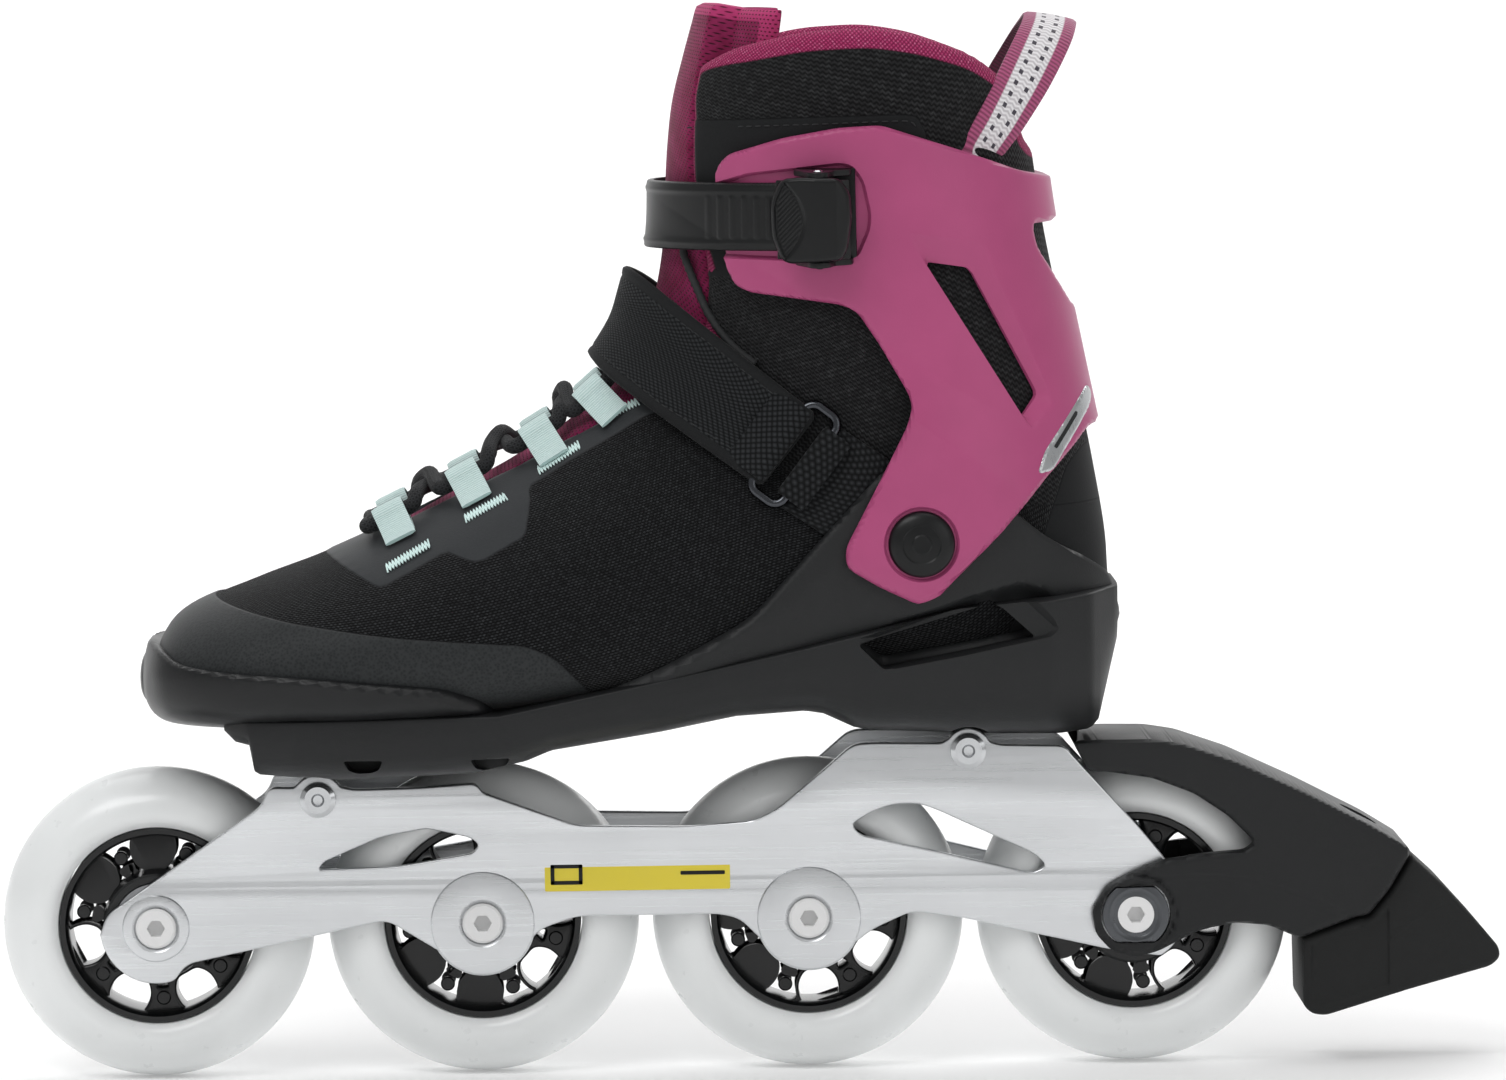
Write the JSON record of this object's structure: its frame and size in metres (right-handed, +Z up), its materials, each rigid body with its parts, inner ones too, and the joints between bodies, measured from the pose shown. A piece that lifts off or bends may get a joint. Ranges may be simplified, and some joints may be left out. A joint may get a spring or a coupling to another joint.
{
  "type": "inline skate",
  "caption": "Inline skate: laced soft boot in a moulded shell, hinged cuff with ladder buckle, instep strap, railed metal frame with wheels in a row and a heel brake.",
  "frame": {"origin": "middle of the bounding box's underside, on the ground under the wheels", "axes": "+X towards the heel and the brake, +Y towards the inner side of the foot, +Z up"},
  "size_m": [0.3838, 0.1078, 0.274],
  "materials": {
    "tyre": "translucent cast polyurethane",
    "hub": "gloss",
    "steel": "ground",
    "bright_steel": "polished",
    "frame": "brushed",
    "shell": "fine matt texture",
    "bumper": "satin",
    "cuff": "satin",
    "boot_mesh": "fine woven mesh",
    "collar_knit": "zigzag knit with a pink piping",
    "tongue_knit": "open hole knit",
    "insole": "napped",
    "lace": "round braid",
    "lace_loop": "woven tape",
    "webbing": "basket weave",
    "pull_tape": "woven tape with a pale centre",
    "black_nylon": "satin",
    "brake_plastic": "fine matt texture",
    "pad": "matt"
  },
  "bodies": {
    "chassis": {"wheel_1_spacer": "steel", "wheel_1_axle": "bright_steel", "wheel_2_spacer": "steel", "wheel_2_axle": "bright_steel", "wheel_3_spacer": "steel", "wheel_3_axle": "bright_steel", "wheel_4_spacer": "steel", "wheel_4_axle": "bright_steel", "frame": "frame", "rivet_front": "bright_steel", "rivet_rear": "bright_steel", "shell": "shell", "toe_bumper": "bumper", "boot_foot": "boot_mesh", "tongue": "tongue_knit", "insole": "insole", "lace_loop_outer_1": "lace_loop", "lace_loop_outer_2": "lace_loop", "lace_loop_outer_3": "lace_loop", "lace_loop_outer_4": "lace_loop", "lace_loop_inner_1": "lace_loop", "lace_loop_inner_2": "lace_loop", "lace_loop_inner_3": "lace_loop", "lace_loop_inner_4": "lace_loop", "lace": "lace", "strap_ring": "bright_steel", "instep_strap": "webbing", "ring_webbing": "webbing", "pivot_bolt_outer": "black_nylon", "pivot_bolt_inner": "black_nylon", "brake_arm": "brake_plastic", "brake_adapter_outer": "steel", "brake_adapter_inner": "steel", "brake_pad": "pad", "brake_pad_screw": "steel"},
    "wheel_1": {"wheel_1_tyre": "tyre", "wheel_1_hub": "hub", "wheel_1_bearing_outer": "steel", "wheel_1_bearing_inner": "steel"},
    "wheel_2": {"wheel_2_tyre": "tyre", "wheel_2_hub": "hub", "wheel_2_bearing_outer": "steel", "wheel_2_bearing_inner": "steel"},
    "wheel_3": {"wheel_3_tyre": "tyre", "wheel_3_hub": "hub", "wheel_3_bearing_outer": "steel", "wheel_3_bearing_inner": "steel"},
    "wheel_4": {"wheel_4_tyre": "tyre", "wheel_4_hub": "hub", "wheel_4_bearing_outer": "steel", "wheel_4_bearing_inner": "steel"},
    "cuff": {"cuff": "cuff", "boot_collar": "collar_knit", "ladder_strap": "black_nylon", "ladder_anchor_screw": "bright_steel", "buckle_base": "black_nylon", "buckle_pin": "bright_steel", "pull_loop": "pull_tape"},
    "lever": {"buckle_lever": "black_nylon"}
  },
  "joints": [
    {"name": "wheel_1_spin", "type": "hinge", "parent": "chassis", "child": "wheel_1", "pos_m": [-0.15222, 0.00142, 0.04], "axis": [0, 1, 0], "continuous": true},
    {"name": "wheel_2_spin", "type": "hinge", "parent": "chassis", "child": "wheel_2", "pos_m": [-0.06872, 0.00142, 0.04], "axis": [0, 1, 0], "continuous": true},
    {"name": "wheel_3_spin", "type": "hinge", "parent": "chassis", "child": "wheel_3", "pos_m": [0.01478, 0.00142, 0.04], "axis": [0, 1, 0], "continuous": true},
    {"name": "wheel_4_spin", "type": "hinge", "parent": "chassis", "child": "wheel_4", "pos_m": [0.09828, 0.00142, 0.04], "axis": [0, 1, 0], "continuous": true},
    {"name": "cuff_flex", "type": "hinge", "parent": "chassis", "child": "cuff", "pos_m": [0.04383, 0.00142, 0.1377], "axis": [0, -1, 0], "range_deg": [-3, 12], "stiffness_Nm_per_rad": 8, "deforming": ["boot_collar", "boot_foot", "tongue", "instep_strap"]},
    {"name": "buckle_release", "type": "hinge", "parent": "cuff", "child": "lever", "pos_m": [0.01891, -0.04904, 0.22001], "axis": [-0.012, -0.0695, 0.9975], "range_deg": [0, 30]}
  ]
}
